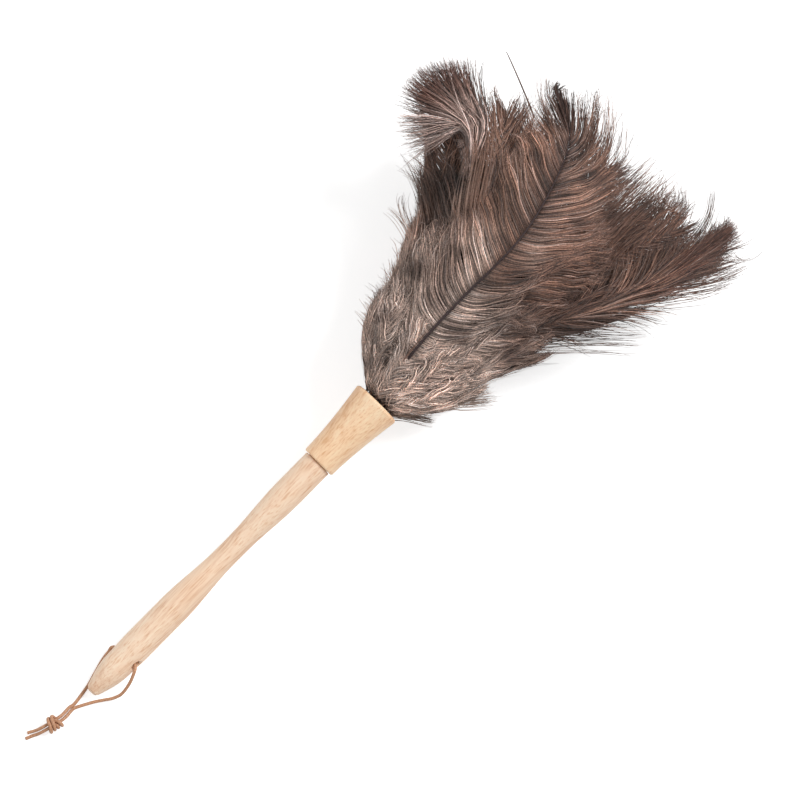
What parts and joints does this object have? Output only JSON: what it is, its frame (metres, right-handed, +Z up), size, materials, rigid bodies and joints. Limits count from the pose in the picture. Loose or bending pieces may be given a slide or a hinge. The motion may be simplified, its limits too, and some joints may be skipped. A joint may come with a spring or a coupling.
{
  "type": "feather duster",
  "caption": "Ostrich feather duster with a turned wooden handle, a flared wooden collar, a full head of grey and brown plumes, and a leather hanging lace tied in a knot.",
  "frame": {"origin": "middle of the base of the duster as it lies on a table, measured without its lace", "axes": "+X runs from the butt of the handle towards the feather tips, +Y to the left when looking along +X, +Z up"},
  "size_m": [0.5562, 0.2216, 0.1093],
  "materials": {
    "handle_wood": "pale, fine-grained, smooth sanded",
    "collar_wood": "pale golden, smooth sanded",
    "dowel_wood": "plain, unfinished",
    "thread": "natural waxed thread",
    "feather_inner": "soft feather, dark grey-brown",
    "feather_long": "soft feather, dark brown",
    "feather_middle": "soft feather, grey-brown",
    "feather_short": "soft feather, beige-grey",
    "feather_down": "downy feather, beige-grey",
    "feather_hero": "soft feather, beige-grey to warm brown with a dark quill",
    "feather_tuft": "soft feather, dark grey with brown tips",
    "lace_leather": "undyed tan leather thong"
  },
  "bodies": {
    "root": {"handle": "handle_wood", "core_dowel": "dowel_wood", "collar": "collar_wood", "inner_binding": "thread", "middle_binding": "thread", "outer_binding": "thread", "heart_plume_01": "feather_inner", "heart_plume_02": "feather_inner", "heart_plume_03": "feather_inner", "core_plume_01": "feather_inner", "core_plume_02": "feather_inner", "core_plume_03": "feather_inner", "core_plume_04": "feather_inner", "long_plume_01": "feather_long", "long_plume_02": "feather_long", "long_plume_03": "feather_long", "long_plume_04": "feather_long", "long_plume_05": "feather_long", "long_plume_06": "feather_long", "long_plume_07": "feather_long", "long_plume_08": "feather_long", "long_plume_09": "feather_long", "middle_plume_01": "feather_middle", "middle_plume_02": "feather_middle", "middle_plume_03": "feather_middle", "middle_plume_04": "feather_middle", "middle_plume_05": "feather_middle", "middle_plume_06": "feather_middle", "middle_plume_07": "feather_middle", "middle_plume_08": "feather_middle", "middle_plume_09": "feather_middle", "short_plume_01": "feather_short", "short_plume_02": "feather_short", "short_plume_03": "feather_short", "short_plume_04": "feather_short", "short_plume_05": "feather_short", "short_plume_06": "feather_short", "short_plume_07": "feather_short", "short_plume_08": "feather_short", "short_plume_09": "feather_short", "short_plume_10": "feather_short", "short_plume_11": "feather_short", "skirt_plume_01": "feather_down", "skirt_plume_02": "feather_down", "skirt_plume_03": "feather_down", "skirt_plume_04": "feather_down", "skirt_plume_05": "feather_down", "skirt_plume_06": "feather_down", "skirt_plume_07": "feather_down", "skirt_plume_08": "feather_down", "skirt_plume_09": "feather_down", "skirt_plume_10": "feather_down", "skirt_plume_11": "feather_down", "skirt_plume_12": "feather_down", "hero_plume": "feather_hero", "left_tuft": "feather_tuft", "right_tuft": "feather_tuft", "lace_left": "lace_leather", "lace_right": "lace_leather"}
  },
  "joints": []
}
